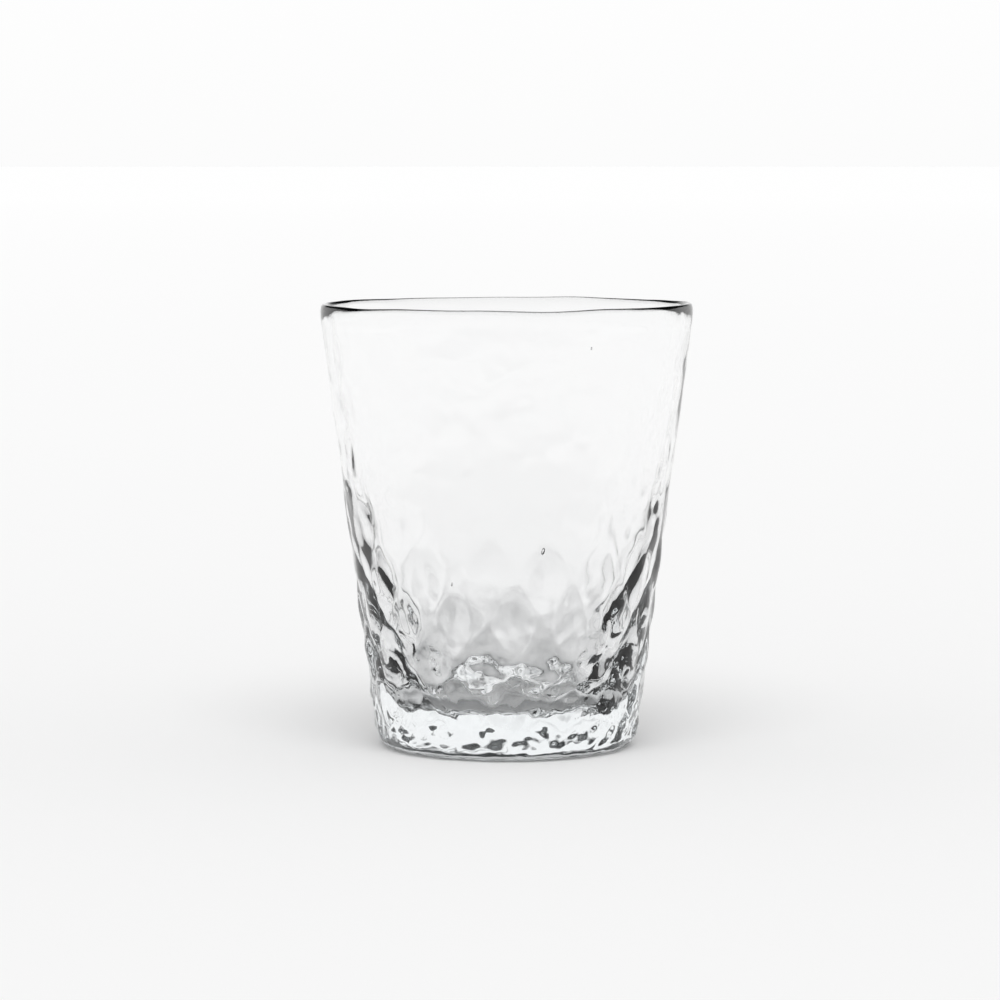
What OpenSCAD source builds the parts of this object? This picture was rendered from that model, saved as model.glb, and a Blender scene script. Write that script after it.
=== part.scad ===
// Mouth-blown tumbler with a diamond-optic wall, a heavy solid base and a
// plain fire-polished rim. Millimetres, +Z up, origin on the table under the axis.
// The glass is one continuous piece. It is drawn as its three zones, which meet
// face to face: the solid base, the patterned wall and the rim band.

/* [Overall] */
// Height from the table to the crest of the lip
glass_h = 100; // [85:1:125]
// Outside diameter of the rim band
mouth_d = 83.6; // [80:0.2:96]
// Outside diameter that the sloping wall would have at the table
foot_d = 59; // [54:1:66]

/* [Rim] */
// Height of the plain band under the lip
rim_h = 4.2; // [3:0.1:8]
// How far the band stands proud of the wall below it
rim_step = 0.2; // [0.1:0.1:1]
// Thickness of the wall where it meets the rim band
wall_t = 2; // [1.6:0.1:3]
// Height above which the wall keeps that thickness
even_h = 60; // [46:1:75]

/* [Base] */
// Height of the base zone, from whose top the rows of diamonds are counted
base_h = 22; // [18:0.5:26]
// Thickness of the glass under the middle of the cavity
floor_t = 10; // [7:0.5:15]
// Radius of the rounded corner between the cavity's floor and its side
corner_r = 6; // [4:0.5:10]
// Thickness of the wall at the top of that corner
root_t = 8.4; // [5:0.2:9.4]
// Radius of the rounded heel, outside, at the table
heel_r = 5; // [3:0.5:7]
// Width of the flat ring that the glass rests on
land_w = 4.5; // [3:0.5:7]
// Depth of the shallow dish inside that ring, which stands clear of the table
dish_h = 1.2; // [0.6:0.1:2]

/* [Diamond pattern] */
// Diamonds round the glass
columns = 16; // [12:1:20]
// Half diamonds up the wall, from the base to the rim band
rows = 7; // [5:1:9]
// Height of a diamond's crown over the grooves beside it
relief_h = 0.8; // [0.3:0.1:1.4]
// Half diamonds under the rim band that stay plain
plain_rows = 1.5; // [0:0.5:3]
// Half diamonds over which the relief dies away below those
fade_rows = 5; // [2:0.5:6]

/* [Hidden] */

glass_colour = [0.80, 0.90, 0.91];
overrun = 1;

// Points across one diamond, which is as many rings as half a diamond is high
cell_steps = 6;
// Rings round the heel, steps along an arc and up the curve of the cavity's side,
// and facets of the turned faces
heel_steps = 5;
arc_steps = 10;
side_n = 8;
turned_fn = 96;

// The wall zone ends where the rim band begins
wall_top = glass_h - rim_h;

// Outside of the sloping wall, measured over the crowns of the diamonds
foot_r = foot_d / 2;
band_r = mouth_d / 2;
wall_r = band_r - rim_step;
function cone_r(z) = foot_r + (wall_r - foot_r) * z / wall_top;

// The cavity's side. It starts where the rounded corner ends, leaning out by
// side_angle. Below even_h the wall thickens by the square of the way down.
corner_top = floor_t + corner_r;
function inner_r(z) = cone_r(z) - wall_t
    - (root_t - wall_t) * pow(max(0, even_h - z) / (even_h - corner_top), 2);
root_in_r = inner_r(corner_top);
mouth_in_r = inner_r(wall_top);
side_angle = atan((wall_r - foot_r) / wall_top
    + 2 * (root_t - wall_t) / (even_h - corner_top));

// The lip is a full round as thick as the band
lip_r = (band_r - mouth_in_r) / 2;

// Rows of the pattern keep their proportions, so they grow with the girth.
// A place up the wall is counted in half diamonds above the base.
root_r = cone_r(base_h);
growth = pow(wall_r / root_r, 1 / rows);
function row_z(row) = base_h
    + (wall_top - base_h) * (pow(growth, row) - 1) / (pow(growth, rows) - 1);
function row_at(z) = ln(cone_r(z) / root_r) / ln(growth);

function limit(x) = max(0, min(1, x));
function ease(x) = x * x * (3 - 2 * x);

// Crown of one diamond, 0 in the grooves and 1 in the middle
function crown(turn, row) =
    abs(sin(180 * (turn * columns + row / 2)) * sin(180 * (turn * columns - row / 2)));

// The pattern dies away towards the plain rows under the rim
function fade(row) = ease(limit((rows - plain_rows - row) / fade_rows));

// A ring of points round the glass. Every other ring is turned by half a step,
// so that the strips between rings run along the grooves.
ring_n = columns * cell_steps;
function ring(z, r, height, odd) = [
    for (i = [0 : ring_n - 1])
        let (turn = (i + odd / 2) / ring_n,
             out = r + height * (crown(turn, row_at(z)) - 1))
            [out * cos(360 * turn), out * sin(360 * turn), z]
];

// Rings joined by strips, with a flat face at each end. The top ring is an even one.
module ringed(rings) {
    count = len(rings);
    ends = [
        [for (i = [0 : ring_n - 1]) i],
        [for (i = [ring_n - 1 : -1 : 0]) (count - 1) * ring_n + i]
    ];
    strips = [
        for (k = [0 : count - 2], i = [0 : ring_n - 1])
            let (low = k * ring_n, high = low + ring_n, next = (i + 1) % ring_n)
                each (count - 1 - k) % 2 == 1
                    ? [[low + i, high + next, low + next],
                       [low + i, high + i, high + next]]
                    : [[low + i, high + i, low + next],
                       [low + next, high + i, high + next]]
    ];
    polyhedron([for (one = rings) each one], concat(ends, strips));
}

// Rings of the wall, from the base to the rim band
wall_steps = rows * cell_steps;
function wall_rings() = [
    for (k = [0 : wall_steps])
        let (row = k / cell_steps, z = row_z(row))
            ring(z, cone_r(z), relief_h * fade(row), (wall_steps - k) % 2)
];

// Rings of the base: round the heel, then up its side
side_steps = floor(-row_at(heel_r) * cell_steps);
function base_rings() = [
    for (k = [0 : heel_steps - 1])
        let (bend = 90 * k / heel_steps, z = heel_r * (1 - cos(bend)))
            ring(z, cone_r(z) - heel_r * (1 - sin(bend)), relief_h * sin(bend),
                 (side_steps + heel_steps - k) % 2),
    for (k = [side_steps : -1 : 0])
        let (z = row_z(-k / cell_steps))
            ring(z, cone_r(z), relief_h, k % 2)
];

// Points of an arc round a centre, from one angle to another
function arc(x, z, r, from, to) = [
    for (k = [0 : arc_steps])
        let (a = from + (to - from) * k / arc_steps)
            [x + r * cos(a), z + r * sin(a)]
];

// The inside of the glass below the rim: floor, rounded corner, curved side and
// the straight side above it
corner_x = root_in_r - corner_r / cos(side_angle);
function side_points() = [
    for (k = [0 : side_n])
        let (z = corner_top + (even_h - corner_top) * k / side_n)
            [inner_r(z), z]
];
module cavity() {
    rotate_extrude($fn = turned_fn)
        polygon(concat(
            [[0, floor_t]],
            arc(corner_x, corner_top, corner_r, -90, -side_angle),
            side_points(),
            [[mouth_in_r, wall_top],
             [mouth_in_r, wall_top + overrun],
             [0, wall_top + overrun]]));
}

// The dish under the base, a shallow dome that ends at the resting ring
dish_edge_r = foot_r - heel_r - land_w;
dish_r = (pow(dish_edge_r, 2) + pow(dish_h, 2)) / (2 * dish_h);
dish_angle = asin(dish_edge_r / dish_r);
module dish() {
    rotate_extrude($fn = turned_fn)
        polygon(concat(
            [[0, -overrun], [dish_edge_r, -overrun]],
            arc(0, dish_h - dish_r, dish_r, 90 - dish_angle, 90)));
}

// Solid base: heel, dish and the bottom of the cavity
module base() {
    color(glass_colour)
        difference() {
            ringed(base_rings());
            cavity();
            dish();
        }
}

// Sloping wall with the diamonds on its outside
module wall() {
    color(glass_colour)
        difference() {
            ringed(wall_rings());
            cavity();
        }
}

// Plain band with its fire-polished lip
module rim() {
    color(glass_colour)
        rotate_extrude($fn = turned_fn)
            polygon(concat(
                [[mouth_in_r, wall_top], [wall_r, wall_top]],
                arc(wall_r, wall_top + rim_step, rim_step, -90, 0),
                arc(band_r - lip_r, glass_h - lip_r, lip_r, 0, 180)));
}

base();
wall();
rim();
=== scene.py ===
# %% [markdown]
# # A blown tumbler with a diamond pattern
#
# This is a mouth-blown drinking glass. A gather of glass was blown into a mould with
# rows of hollows, which left soft diamonds on the outside. It was then opened out, cut
# off and fire-polished, so nothing on it is quite even. It is a single piece of glass,
# so a single closed mesh stands for all three zones of the CAD model.
#
# The script first loads those CAD zones as a fixed frame, in metres, with the table at
# height 0 and the axis of the glass on Z.

# %% Load the frame
import math
import random

import bmesh
import bpy
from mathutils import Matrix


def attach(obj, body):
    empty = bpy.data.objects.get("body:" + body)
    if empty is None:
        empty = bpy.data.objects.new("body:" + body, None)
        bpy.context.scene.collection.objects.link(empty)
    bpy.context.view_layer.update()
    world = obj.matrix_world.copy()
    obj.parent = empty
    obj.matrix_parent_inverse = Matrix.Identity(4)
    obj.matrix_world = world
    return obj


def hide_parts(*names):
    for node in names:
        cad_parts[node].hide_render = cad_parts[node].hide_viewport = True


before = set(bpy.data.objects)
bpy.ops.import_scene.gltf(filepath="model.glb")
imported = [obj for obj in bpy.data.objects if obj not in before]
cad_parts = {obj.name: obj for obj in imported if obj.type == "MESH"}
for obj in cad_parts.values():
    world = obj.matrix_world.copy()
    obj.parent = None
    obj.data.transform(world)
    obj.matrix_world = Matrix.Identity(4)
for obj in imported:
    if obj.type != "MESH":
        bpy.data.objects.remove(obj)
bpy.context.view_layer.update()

MM = 0.001
print("zones of the CAD model:", sorted(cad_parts))

# %% [markdown]
# ## The camera
#
# The photograph was taken from a little above the rim, through a long lens: the sides
# of the glass keep their true slope and the mouth is a thin ellipse. A long lens at
# 90 cm gives the same flat look. It stands a few degrees to one side, so that the
# columns of diamonds meet the outline where they do in the photograph. The camera is
# made first, so that each piece can be judged in the frame that it will be seen in.

# %% Make the camera
LENS, SENSOR = 143.5, 36
AWAY, ABOVE = 0.9, 0.135
LOOK_DOWN, LOOK_LEFT = 5.03, 0.0934
ROUND_TO = math.radians(-2.8)

bpy.ops.object.select_all(action="DESELECT")
bpy.ops.object.camera_add(
    location=(AWAY * math.sin(ROUND_TO), -AWAY * math.cos(ROUND_TO), ABOVE),
    rotation=(math.radians(90 - LOOK_DOWN), 0, math.radians(LOOK_LEFT) + ROUND_TO))
camera = bpy.context.object
camera.data.lens = LENS
camera.data.sensor_width = SENSOR
camera.data.clip_start = 0.01
bpy.context.scene.camera = camera
print(f"camera: {LENS} mm lens, {AWAY * 100:.0f} cm away, {LOOK_DOWN} degrees down")

# %% [markdown]
# ## The shape of the outside
#
# Seen from the side, the outside of the glass is a plain cone. The rows of diamonds
# get taller towards the mouth, because blowing stretched them as it widened the glass.
# Counting rows by the logarithm of the radius copies that: each row is wider and
# taller than the one below by the same share, so every diamond keeps its proportions.

# %% Measures of the cone and of its rows
FOOT_R, WALL_R, WALL_TOP = 29.5 * MM, 41.6 * MM, 95.8 * MM
COLUMNS = 16
SLOPE = (WALL_R - FOOT_R) / WALL_TOP
ROW_START_Z, ROWS_TO_BAND = 22 * MM, 7


def cone_r(z):
    """Radius of the outer cone at a height."""
    return FOOT_R + SLOPE * z


start_r = cone_r(ROW_START_Z)
GROWTH = (WALL_R / start_r) ** (1 / ROWS_TO_BAND)


def row_z(row):
    """Height of a row, counted from the one at ROW_START_Z."""
    return (start_r * GROWTH ** row - FOOT_R) / SLOPE


print("rows at", [round(row_z(row) / MM, 1) for row in range(-2, 8)], "mm")

# %% [markdown]
# ## Tools for selecting and placing
#
# By hand, one would click on a ring of points and drag it. In code, a ring is chosen by
# its height, and then scaled about the axis and lifted. These helpers do the clicking.
# A small factor makes up for the subdivision surface, which shrinks a ring of 32
# corners a little as it rounds it.

# %% Helpers for edit mode
RING = 2 * COLUMNS
ROUNDING = 1 / (1 - (1 - math.cos(math.tau / RING)) / 3)


def open_mesh():
    """The mesh that is open in edit mode."""
    return bmesh.from_edit_mesh(bpy.context.object.data)


def select_points(test):
    """Select the points whose place passes the test, and say how many there are."""
    bpy.ops.mesh.select_all(action="DESELECT")
    mesh = open_mesh()
    chosen = [point for point in mesh.verts if test(point.co)]
    for point in chosen:
        point.select_set(True)
    mesh.select_flush(True)
    return len(chosen)


def select_edges(test):
    """Select the edges that pass the test, and nothing else."""
    bpy.ops.mesh.select_all(action="DESELECT")
    bpy.ops.mesh.select_mode(type="EDGE")
    for edge in open_mesh().edges:
        if test(edge):
            edge.select_set(True)


def at_height(z, give=0.1 * MM):
    """A test for the points at a height."""
    return lambda place: abs(place.z - z) < give


def place_ring(old_z, z, widen):
    """Scale the selected ring about the axis and take it to another height."""
    bpy.ops.transform.resize(value=(widen, widen, 1), center_override=(0, 0, old_z))
    bpy.ops.transform.translate(value=(0, 0, z - old_z))


def extrude_rings(z, r, rings):
    """Extrude the selected edge ring through a list of places, each height and radius."""
    for new_z, new_r in rings:
        bpy.ops.mesh.extrude_region_move()
        place_ring(z, new_z, new_r / r)
        z, r = new_z, new_r
    return z, r


print(f"a ring has {RING} corners and is drawn {100 * (ROUNDING - 1):.1f}% larger")

# %% [markdown]
# ## How strong the pattern is
#
# The mould marks the glass fully just above the base. Blowing then stretched the
# pattern flat towards the mouth, and the heel lost some of it where it was pressed on
# a board. One number for each row says how much is left, and both the depth of the
# grooves and the height of the cushions follow it.

# %% Strength of the pattern
FULL_ROW, LAST_ROW = 0.5, 5.5
HEEL_ROW, HEEL_STRENGTH = -2, 0.4


def strength_at(row):
    """Strength of the pattern at a row: 0 at the last row, and less round the heel."""
    left = max(0, min(1, (LAST_ROW - row) / (LAST_ROW - FULL_ROW)))
    heel = min(1, HEEL_STRENGTH + (1 - HEEL_STRENGTH) * (row - HEEL_ROW) / 2)
    return left * left * (3 - 2 * left) * heel


print("strength at rows -2 to 5:", [round(strength_at(row), 2) for row in range(-2, 6)])

# %% [markdown]
# ## The lattice of diamonds
#
# The mould's pattern is a net of grooves that cross slantwise, with a soft cushion in
# each mesh of the net. It could be painted on as a bump, but then the glass would not
# bend the light as thick and thin glass does, and the outline would stay straight.
#
# So it is modelled. A tube with 16 sides gets a ring of edges at every second row.
# Poke puts a point in the middle of each face, joined to its corners. When the first
# edges are dissolved, what is left is a net of diamonds. One more subdivision gives
# each diamond a point in its middle, its crown, and Cast makes the tube truly round.
# The tube is first modelled one row to the metre, high above everything, so that a
# ring which has been put in its place is never mistaken for one that has not.

# %% Tube with diamonds
LOFT = 10
GROOVE_CREASE = 0.45


def is_upright(edge):
    """True for an edge that runs straight up."""
    return (edge.verts[0].co.xy - edge.verts[1].co.xy).length < 0.01


def is_level(edge):
    """True for an edge whose ends are at the same height."""
    return abs(edge.verts[0].co.z - edge.verts[1].co.z) < 0.1


def middle_row(edge):
    """Row, on the tube before it is placed, of the middle of an edge."""
    return (edge.verts[0].co.z + edge.verts[1].co.z) / 2 - LOFT


def diamond_tube(name, low, high):
    """A tube of diamonds from one row to another, left open in edit mode."""
    bpy.ops.object.select_all(action="DESELECT")
    bpy.ops.mesh.primitive_cylinder_add(
        vertices=COLUMNS, radius=1, depth=high - low, end_fill_type="NOTHING",
        location=(0, 0, LOFT + (low + high) / 2))
    bpy.ops.object.transform_apply(location=True)
    bpy.context.object.name = name
    bpy.ops.object.mode_set(mode="EDIT")
    select_edges(is_upright)
    if high - low > 2:
        bpy.ops.mesh.subdivide(number_cuts=(high - low) // 2 - 1)
    bpy.ops.mesh.select_all(action="SELECT")
    bpy.ops.mesh.poke()
    select_edges(lambda edge: not edge.is_boundary and (is_level(edge) or is_upright(edge)))
    bpy.ops.mesh.dissolve_edges(use_verts=False)
    for row in range(low, high):
        select_edges(lambda edge: not edge.is_boundary and row < middle_row(edge) < row + 1)
        bpy.ops.transform.edge_crease(value=GROOVE_CREASE * strength_at(row + 0.5))
    bpy.ops.mesh.select_all(action="SELECT")
    bpy.ops.mesh.subdivide(number_cuts=1)
    bpy.ops.mesh.select_mode(type="VERT")
    bpy.ops.object.mode_set(mode="OBJECT")
    round_it = bpy.context.object.modifiers.new("round", "CAST")
    round_it.cast_type = "CYLINDER"
    round_it.factor = 1
    round_it.use_radius_as_size = False
    round_it.size = 1
    bpy.ops.object.modifier_apply(modifier=round_it.name)
    bpy.ops.object.mode_set(mode="EDIT")
    mesh = open_mesh()
    print(f"{name}: {len(mesh.faces)} faces, radius "
          f"{min(v.co.xy.length for v in mesh.verts):.3f} to "
          f"{max(v.co.xy.length for v in mesh.verts):.3f} before it is placed")


def place_rows(low, high, radius_at):
    """Give each level of the tube its height and radius, two levels to a row."""
    for level in range(2 * low, 2 * high + 1):
        row = level / 2
        select_points(at_height(LOFT + row, give=0.1))
        place_ring(LOFT + row, row_z(row), radius_at(row_z(row)) * ROUNDING)


# %% [markdown]
# ## Crowns
#
# In each row every second point is the middle of a diamond. Pushing those points out
# makes the cushions. The push follows the strength of the pattern, and no two cushions
# get quite the same push, as on the real glass. The random numbers start from a fixed
# number, so the glass is the same every time.

# %% Push the crowns out
UNEVEN = 0.35


def push_crowns(low, high, push, chance):
    """Push the middle of every diamond away from the axis."""
    pushed = 0
    for row in range(low, high + 1):
        for column in range(COLUMNS):
            turn = (column + ((row + 1) % 2) / 2) / COLUMNS * math.tau
            reach = push * strength_at(row) * (1 + UNEVEN * chance.uniform(-1, 1))
            out = (math.cos(turn), math.sin(turn))
            found = select_points(lambda p: abs(p.z - row_z(row)) < 0.1 * MM
                                  and p.x * out[0] + p.y * out[1] > 0.998 * p.xy.length)
            bpy.ops.transform.translate(value=(out[0] * reach, out[1] * reach, 0))
            pushed += found
    print(f"{pushed} crowns pushed out by up to {push / MM:.2f} mm")


# %% [markdown]
# ## The outside
#
# The outer skin starts two rows below the first one, at the heel, and the diamonds run
# four rows up from it, to where they have nearly died away. From the top ring the plain
# neck, the band and the round lip are extruded, and from the bottom ring the heel, the
# flat resting ring and the shallow dish. A grid of four-sided faces closes the dish,
# which leaves no pole that would pinch the reflections.

# %% Model the outer skin
OUT_LOW, OUT_HIGH = -2, 4
OUT_PUSH = 1.9 * MM
RELIEF = 0.7 * MM
HEEL_IN = 0.4 * MM
# Height and radius, in mm, of the rings round the heel, the resting ring and the dish
HEEL = [(1.2, 28.7), (0, 26.2), (0, 23.3), (0, 20.2), (0.9, 14)]
chance = random.Random(6)


def groove_r(z):
    """Radius of the grooves, which lie below the cone."""
    row = math.log(cone_r(z) / start_r) / math.log(GROWTH)
    return cone_r(z) - RELIEF * strength_at(row)


diamond_tube("clear_glass_tumbler", OUT_LOW, OUT_HIGH)
place_rows(OUT_LOW, OUT_HIGH, groove_r)
push_crowns(OUT_LOW, OUT_HIGH, OUT_PUSH, chance)

# The lowest level draws in to begin the round heel
low_z = row_z(OUT_LOW)
select_points(at_height(low_z))
low_r = groove_r(low_z) * ROUNDING
draw_in = 1 - HEEL_IN / low_r
bpy.ops.transform.resize(value=(draw_in, draw_in, 1), center_override=(0, 0, low_z))
extrude_rings(low_z, low_r - HEEL_IN, [(z * MM, r * MM) for z, r in HEEL])
bpy.ops.mesh.fill_grid(span=RING // 4)

# %% Model the neck, the band and the lip
# Heights of the plain rings, then height and radius of the lip's, all in mm
NECK = [72, 83, 92, 95.3]
LIP = [(96.4, 41.75), (99.2, 41.9), (100.3, 41.6), (100.4, 40.9), (100.2, 40.2), (99.0, 39.95)]

high_z = row_z(OUT_HIGH)
select_points(at_height(high_z))
extrude_rings(high_z, groove_r(high_z) * ROUNDING,
              [(z * MM, cone_r(z * MM) * ROUNDING) for z in NECK] +
              [(z * MM, r * MM * ROUNDING) for z, r in LIP])
bpy.ops.object.mode_set(mode="OBJECT")
outside = bpy.context.object
print("outer cage:", len(outside.data.polygons), "faces")

# %% [markdown]
# ## The inside
#
# The wall of a blown glass thickens smoothly from the mouth to the heavy base, and the
# cavity ends in a deep round bowl. The inner skin was pushed by the same mould, through
# soft glass, so low down it has the same diamonds, only far fainter. Two rows of them
# are modelled in the same way, with radii of their own, and plain rings carry the skin
# on up to the mouth.

# %% Model the inner skin
IN_LOW, IN_HIGH = 0, 2
IN_PUSH = 0.3 * MM
RIM_WALL, ROOT_WALL = 2 * MM, 9.6 * MM
EVEN_Z, CORNER_Z = 65 * MM, 16 * MM
# Height and radius of the rings round the cavity's floor, then heights of the plain
# rings above the diamonds, all in mm
CORNER = [(15.5, 21.6), (11.4, 19.2), (10.0, 15.0)]
IN_RINGS = [51, 61, 75, 92]


def inner_r(z):
    """Radius of the cavity: an even wall that thickens below EVEN_Z."""
    down = max(0, (EVEN_Z - z) / (EVEN_Z - CORNER_Z))
    return cone_r(z) - RIM_WALL - (ROOT_WALL - RIM_WALL) * down ** 1.5


diamond_tube("inner_skin", IN_LOW, IN_HIGH)
place_rows(IN_LOW, IN_HIGH, inner_r)
push_crowns(IN_LOW, IN_HIGH, IN_PUSH, chance)
select_points(at_height(row_z(IN_LOW)))
extrude_rings(row_z(IN_LOW), inner_r(row_z(IN_LOW)) * ROUNDING,
              [(z * MM, r * MM) for z, r in CORNER])
bpy.ops.mesh.fill_grid(span=RING // 4)
select_points(at_height(row_z(IN_HIGH)))
extrude_rings(row_z(IN_HIGH), inner_r(row_z(IN_HIGH)) * ROUNDING,
              [(z * MM, inner_r(z * MM) * ROUNDING) for z in IN_RINGS])
bpy.ops.mesh.select_all(action="SELECT")
bpy.ops.mesh.flip_normals()
bpy.ops.object.mode_set(mode="OBJECT")
inside = bpy.context.object
print("inner cage:", len(inside.data.polygons), "faces")

# %% [markdown]
# ## One closed piece
#
# The two skins are joined and a bridge of faces closes the gap under the lip. From
# then on the cage is one closed surface, so its normals can be made to agree. Vertex
# groups note how freely each ring may ripple: not at all on the resting ring, a little
# at the rim, most in the thick glass low down. The even wall above the middle has its
# own two groups, one for each skin. They are set on the cage, because the subdivision
# surface spreads them smoothly over the fine mesh.

# %% Join and bridge the skins
bpy.ops.object.select_all(action="DESELECT")
inside.select_set(True)
outside.select_set(True)
bpy.context.view_layer.objects.active = outside
bpy.ops.object.join()
glass = bpy.context.object
bpy.ops.object.mode_set(mode="EDIT")
select_edges(lambda edge: edge.is_boundary)
bpy.ops.mesh.bridge_edge_loops()
bpy.ops.mesh.select_mode(type="VERT")
bpy.ops.mesh.select_all(action="SELECT")
bpy.ops.mesh.normals_make_consistent(inside=False)
open_edges = sum(edge.is_boundary for edge in open_mesh().edges)
bpy.ops.object.mode_set(mode="OBJECT")
print("cage of the whole glass:", len(glass.data.polygons), "faces,", open_edges, "open edges")


# %% Note how freely the glass may ripple
TABLE_Z, CAVITY_Z, SKIN = 1 * MM, 9 * MM, 1.6 * MM


def rise(place, none_at, all_at):
    """Weight of a point by its height: 0 at one height in mm and 1 at the other."""
    return max(0, min(1, (place.z / MM - none_at) / (all_at - none_at)))


def is_inner(place):
    """True for a point of the cavity."""
    return place.z > CAVITY_Z and place.xy.length < cone_r(place.z) - SKIN


def ripple_weight(place):
    """0 where the glass stays true, 1 where it ripples most."""
    if place.z < TABLE_Z:
        return 0
    low_down = rise(place, 95, 20) ** 2
    return low_down if is_inner(place) else low_down * rise(place, 0, 4)


def base_weight(place):
    """1 on the side of the solid base, 0 on the table and above the floor."""
    return min(rise(place, 0, 3), rise(place, 24, 10))


def fine_weight(place):
    """1 in the thick glass low down, 0 in the even wall, for the finest ripples."""
    return min(rise(place, 44, 22), rise(place, 0, 4))


def wall_weight(place):
    """1 in the even wall above the middle, 0 at the rim and low down."""
    return min(rise(place, 25, 60), rise(place, 96, 76))


# %% Set the vertex groups
OUTER, INNER, BASE, RIM = "outer_ripple", "inner_ripple", "base_ripple", "rim_wave"
FINE_OUTER, FINE_INNER = "fine_outer_ripple", "fine_inner_ripple"
WALL_OUTER, WALL_INNER = "wall_outer_wave", "wall_inner_wave"
for name in (OUTER, INNER, BASE, RIM, FINE_OUTER, FINE_INNER, WALL_OUTER, WALL_INNER):
    glass.vertex_groups.new(name=name)
for point in glass.data.vertices:
    weights = {RIM: rise(point.co, 80, 100)}
    if is_inner(point.co):
        weights[INNER] = ripple_weight(point.co)
        weights[FINE_INNER] = fine_weight(point.co)
        weights[WALL_INNER] = wall_weight(point.co)
    else:
        weights[OUTER] = ripple_weight(point.co)
        weights[FINE_OUTER] = fine_weight(point.co)
        weights[WALL_OUTER] = wall_weight(point.co)
        weights[BASE] = base_weight(point.co)
    for name, weight in weights.items():
        glass.vertex_groups[name].add([point.index], weight, "REPLACE")
print("vertex groups:", [group.name for group in glass.vertex_groups])

# %% [markdown]
# ## Round it and let it ripple
#
# Subdivision turns the cage into smooth glass. Then displacement by cloud textures
# adds what the blower's breath and tools leave: waves as wide as a finger on both
# skins, finer ripples low down, and a lip that rises and falls by a hair. In the even
# wall both skins share the same waves, one pushed out where the other is pushed in
# along its normal, so the wall sways there without growing thicker or thinner.

# %% Finish the mesh with modifiers
SMOOTHING = 3
WALL_WAVE, WALL_DEPTH = 6 * MM, 0.4 * MM
# Each wave: its name, the size of its lumps, their kind, its depth and its group
WAVES = [
    ("outer_waves", 9 * MM, "ORIGINAL_PERLIN", 0.9 * MM, OUTER),
    ("inner_waves", 9 * MM, "IMPROVED_PERLIN", 0.7 * MM, INNER),
    ("wall_waves", WALL_WAVE, "ORIGINAL_PERLIN", WALL_DEPTH, WALL_OUTER),
    ("wall_waves_inside", WALL_WAVE, "ORIGINAL_PERLIN", -WALL_DEPTH, WALL_INNER),
    ("base_ripples", 2.6 * MM, "ORIGINAL_PERLIN", 0.7 * MM, BASE),
    ("outer_ripples", 3.5 * MM, "IMPROVED_PERLIN", 0.25 * MM, FINE_OUTER),
    ("inner_ripples", 3 * MM, "ORIGINAL_PERLIN", 0.7 * MM, FINE_INNER),
]
RIM_WAVE, RIM_DEPTH = 25 * MM, 1.2 * MM


def apply_modifier(kind, **settings):
    """Add a modifier to the glass, set it and apply it."""
    modifier = glass.modifiers.new(kind.lower(), kind)
    for key, value in settings.items():
        setattr(modifier, key, value)
    bpy.ops.object.modifier_apply(modifier=modifier.name)


def clouds(name, size, basis):
    """A cloud texture with lumps of about the given size."""
    texture = bpy.data.textures.new(name, "CLOUDS")
    texture.noise_scale = size
    texture.noise_depth = 1
    texture.noise_basis = basis
    return texture


bpy.ops.object.select_all(action="DESELECT")
glass.select_set(True)
bpy.context.view_layer.objects.active = glass
apply_modifier("SUBSURF", levels=SMOOTHING, render_levels=SMOOTHING)
for name, size, basis, depth, group in WAVES:
    apply_modifier("DISPLACE", texture=clouds(name, size, basis), strength=depth,
                   mid_level=0.5, vertex_group=group, texture_coords="LOCAL")
apply_modifier("DISPLACE", texture=clouds("rim_waves", RIM_WAVE, "ORIGINAL_PERLIN"),
               strength=RIM_DEPTH, mid_level=0.5, direction="Z",
               vertex_group=RIM, texture_coords="LOCAL")
bpy.ops.object.shade_smooth()
triangles = sum(len(face.vertices) - 2 for face in glass.data.polygons)
reach = max(point.co.xy.length for point in glass.data.vertices)
crest = max(point.co.z for point in glass.data.vertices)
print(f"glass: {triangles} triangles, radius {reach / MM:.2f} mm, height {crest / MM:.2f} mm")

# %% [markdown]
# ## Seeds
#
# Three seeds, as glass blowers call small bubbles, are caught in the front of the wall.
# Each is a small stretched ball whose faces look inwards, towards the air in it.

# %% Add the seeds
# Degrees to the right of the middle, height, radius and depth in the wall, all in mm
SEEDS = [(13.4, 47.5, 0.36, 1.5), (27, 92, 0.16, 1), (-21, 40, 0.2, 1.6)]
SEED_STRETCH, SEED_LEAN = 2.2, math.radians(14)

seeds = []
for degrees, height, size, depth in SEEDS:
    turn = math.radians(degrees) + ROUND_TO
    reach = cone_r(height * MM) - depth * MM
    bpy.ops.mesh.primitive_ico_sphere_add(subdivisions=3, radius=size * MM, location=(
        reach * math.sin(turn), -reach * math.cos(turn), height * MM))
    seed = bpy.context.object
    seed.scale = (1, 1, SEED_STRETCH)
    seed.rotation_euler = (0, SEED_LEAN, 0)
    bpy.ops.object.transform_apply(location=True, rotation=True, scale=True)
    bpy.ops.object.mode_set(mode="EDIT")
    bpy.ops.mesh.select_all(action="SELECT")
    bpy.ops.mesh.flip_normals()
    bpy.ops.object.mode_set(mode="OBJECT")
    bpy.ops.object.shade_smooth()
    seeds.append(seed)
bpy.ops.object.select_all(action="DESELECT")
for piece in [*seeds, glass]:
    piece.select_set(True)
bpy.context.view_layer.objects.active = glass
bpy.ops.object.join()
print(f"{len(SEEDS)} seeds, the largest {2 * SEED_STRETCH * SEEDS[0][2]:.1f} mm long")

# %% [markdown]
# ## Clear glass
#
# Clear glass has hardly a colour of its own. What one sees in it is the room, bent and
# mirrored. So the shader's colour stays white, or every surface would darken the light
# that passes it, and the faint cool grey of the thick base comes from absorption
# inside the glass, which grows with the length of the light's way. A bump from soft
# noise, with lumps of 8 mm, gives the skin the faint mottled look that is left where
# the mould chilled it.

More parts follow.
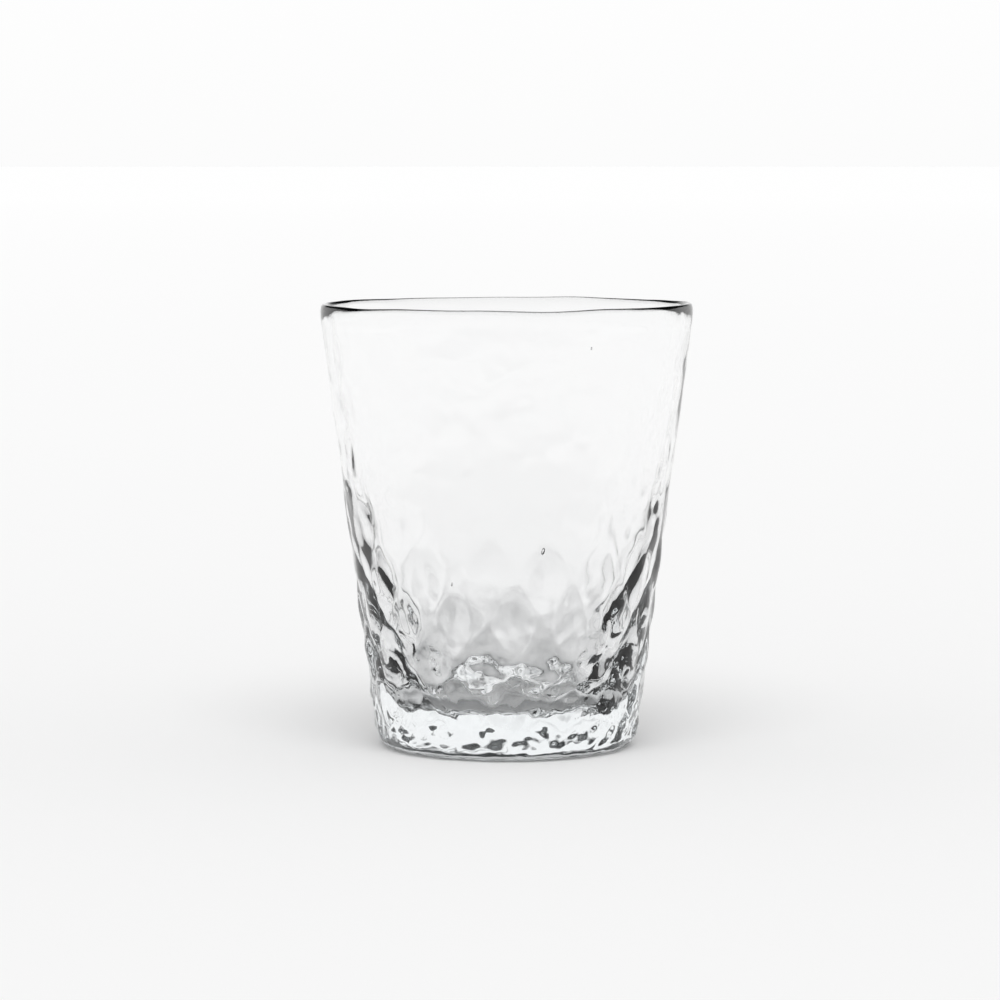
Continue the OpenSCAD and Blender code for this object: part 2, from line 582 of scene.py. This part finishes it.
# %% Material of the glass
ABSORB_COLOUR = (0.82, 0.88, 0.905, 1)
ABSORB_DENSITY = 8
GLASS_IOR = 1.5

clear_glass = bpy.data.materials.new("clear_glass")
clear_glass.use_nodes = True
nodes, links = clear_glass.node_tree.nodes, clear_glass.node_tree.links
shader = nodes["Principled BSDF"]
shader.inputs["Base Color"].default_value = (1, 1, 1, 1)
shader.inputs["Roughness"].default_value = 0
shader.inputs["IOR"].default_value = GLASS_IOR
shader.inputs["Transmission Weight"].default_value = 1
absorb = nodes.new("ShaderNodeVolumeAbsorption")
absorb.inputs["Color"].default_value = ABSORB_COLOUR
absorb.inputs["Density"].default_value = ABSORB_DENSITY
links.new(absorb.outputs["Volume"], nodes["Material Output"].inputs["Volume"])
glass.data.materials.clear()
glass.data.materials.append(clear_glass)
print("glass: IOR", GLASS_IOR, "absorption density", ABSORB_DENSITY)

# %% Mottled skin of the glass
MOTTLE_SCALE = 130
MOTTLE_DEPTH = 0.1 * MM

place = nodes.new("ShaderNodeTexCoord")
mottle = nodes.new("ShaderNodeTexNoise")
mottle.inputs["Scale"].default_value = MOTTLE_SCALE
mottle.inputs["Detail"].default_value = 1
links.new(place.outputs["Object"], mottle.inputs["Vector"])
bump = nodes.new("ShaderNodeBump")
bump.inputs["Strength"].default_value = 1
bump.inputs["Distance"].default_value = MOTTLE_DEPTH
links.new(mottle.outputs["Fac"], bump.inputs["Height"])
links.new(bump.outputs["Normal"], shader.inputs["Normal"])
print(f"skin: lumps of {1 / MOTTLE_SCALE / MM:.0f} mm, {MOTTLE_DEPTH / MM:.1f} mm deep")

# %% [markdown]
# ## The table
#
# The glass stands on a pale matt sheet that seems to have no end. A very wide disc gives
# the same endless sheet from any side. Its grey is painted paler with the distance, until
# it is as pale as the walls of the tent. This is painted light: the lit sheet looks brighter
# far off. It keeps the soft shadow of the glass.

# %% Floor
FLOOR_R = 30

bpy.ops.object.select_all(action="DESELECT")
bpy.ops.mesh.primitive_circle_add(vertices=128, radius=FLOOR_R, fill_type="NGON")
floor = bpy.context.object
floor.name = "pale_sheet"
print("floor: a disc", FLOOR_R * 2, "m across")


# %% Material of the sheet
# Distance from the glass in metres, and the painted grey of the sheet there: painted light,
# paler far off
SHEET_PAINTED_LIGHT = [(0.1, 0.905), (0.4, 0.92), (1, 0.935), (3, 0.95), (10, 0.975)]


def fill_ramp(ramp, stops):
    """Give a colour ramp its stops: each a place from 0 to 1, and a colour."""
    while len(ramp.elements) < len(stops):
        ramp.elements.new(0.5)
    for element, (place_along, colour) in zip(ramp.elements, stops):
        element.position = place_along
    for element, (place_along, colour) in zip(ramp.elements, stops):
        element.color = (*colour, 1)


sheet = bpy.data.materials.new("pale_matt_sheet")
sheet.use_nodes = True
nodes, links = sheet.node_tree.nodes, sheet.node_tree.links
shader = nodes["Principled BSDF"]
shader.inputs["Roughness"].default_value = 0.7
shader.inputs["Specular IOR Level"].default_value = 0
place = nodes.new("ShaderNodeTexCoord")
distance = nodes.new("ShaderNodeVectorMath")
distance.operation = "LENGTH"
links.new(place.outputs["Object"], distance.inputs[0])
reach = nodes.new("ShaderNodeMapRange")
reach.inputs["From Max"].default_value = SHEET_PAINTED_LIGHT[-1][0]
links.new(distance.outputs["Value"], reach.inputs["Value"])
# Painted light: the ramp makes the sheet paler with the distance from the glass
pale = nodes.new("ShaderNodeValToRGB")
fill_ramp(pale.color_ramp, [(metres / SHEET_PAINTED_LIGHT[-1][0], (tone, tone, tone))
                            for metres, tone in SHEET_PAINTED_LIGHT])
links.new(reach.outputs["Result"], pale.inputs["Fac"])
links.new(pale.outputs["Color"], shader.inputs["Base Color"])
floor.data.materials.append(sheet)
print("sheet: grey", SHEET_PAINTED_LIGHT[0][1], "at the glass and", SHEET_PAINTED_LIGHT[-1][1], "far away")

# %% [markdown]
# ## The studio
#
# Glass photographs well in a bright tent with a dark band round it. The tent fills the
# glass with white. The band starts some way above the table, with white again over it,
# and draws the glass's edges and marks. The world is painted that way, by height alone,
# so the glass looks right from all sides. One wide lamp casts the faint shadow.
# What lights matt surfaces is a plain white, so that colours render as they are.

# %% Soft lamp
LAMP_ANGLE, LAMP_SIZE, LAMP_POWER = 58, 44, 1.25
PLAIN_LIGHT = 0.685

bpy.ops.object.light_add(type="SUN", rotation=(math.radians(90 - LAMP_ANGLE), 0, ROUND_TO))
lamp = bpy.context.object
lamp.data.angle = math.radians(LAMP_SIZE)
lamp.data.energy = LAMP_POWER
lamp.visible_camera = False
lamp.visible_glossy = False
lamp.visible_transmission = False
print(f"lamp: {LAMP_ANGLE} degrees up, {LAMP_SIZE} degrees wide")

# %% Tones of the tent
# Elevation in degrees and the grey there, then the dark band with white over it
TENT = [(-90, 0.80), (-12, 0.905), (-6, 0.925), (-2.5, 0.955), (2.5, 0.99), (10, 0.99)]
DARK = (0.017, 0.02, 0.0216)
DARK_BAND = [(16, DARK), (38, DARK), (46, (0.99, 0.99, 0.99))]

world = bpy.data.worlds.new("tent")
bpy.context.scene.world = world
world.use_nodes = True
nodes, links = world.node_tree.nodes, world.node_tree.links
light = nodes["Background"]
place = nodes.new("ShaderNodeTexCoord")
split = nodes.new("ShaderNodeSeparateXYZ")
links.new(place.outputs["Generated"], split.inputs[0])
height = nodes.new("ShaderNodeMath")
height.operation = "ARCSINE"
links.new(split.outputs["Z"], height.inputs[0])
scale = nodes.new("ShaderNodeMapRange")
scale.inputs["From Min"].default_value = -math.pi / 2
scale.inputs["From Max"].default_value = math.pi / 2
links.new(height.outputs[0], scale.inputs["Value"])
tones = nodes.new("ShaderNodeValToRGB")
stops = [(angle, (tone, tone, tone)) for angle, tone in TENT] + DARK_BAND
fill_ramp(tones.color_ramp, [((angle + 90) / 180, tone) for angle, tone in stops])
links.new(scale.outputs["Result"], tones.inputs["Fac"])
print("tent: pale up to", TENT[-1][0], "degrees, dark from", DARK_BAND[0][0])

# %% [markdown]
# The tent is for the eye: for camera rays, and for rays mirrored or bent by the glass.
# All other rays, those that light matt surfaces, get the plain white.

# %% Keep the tent for seen, mirrored and bent rays
rays = nodes.new("ShaderNodeLightPath")
seen = rays.outputs["Is Camera Ray"]
for kind in ("Is Glossy Ray", "Is Transmission Ray"):
    add = nodes.new("ShaderNodeMath")
    add.operation = "ADD"
    add.use_clamp = True
    links.new(seen, add.inputs[0])
    links.new(rays.outputs[kind], add.inputs[1])
    seen = add.outputs[0]
choose = nodes.new("ShaderNodeMix")
choose.data_type = "RGBA"
for socket in choose.inputs:
    if socket.type == "RGBA" and socket.name == "A":
        socket.default_value = (PLAIN_LIGHT, PLAIN_LIGHT, PLAIN_LIGHT, 1)
    if socket.type == "RGBA" and socket.name == "B":
        links.new(tones.outputs["Color"], socket)
links.new(seen, choose.inputs["Factor"])
links.new(choose.outputs[2], light.inputs["Color"])
bpy.context.scene.view_settings.view_transform = "Standard"
print("world: plain light", PLAIN_LIGHT, "for matt surfaces")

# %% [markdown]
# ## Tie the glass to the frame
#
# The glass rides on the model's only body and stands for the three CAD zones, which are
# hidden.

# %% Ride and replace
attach(glass, "root")
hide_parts("base", "wall", "rim")
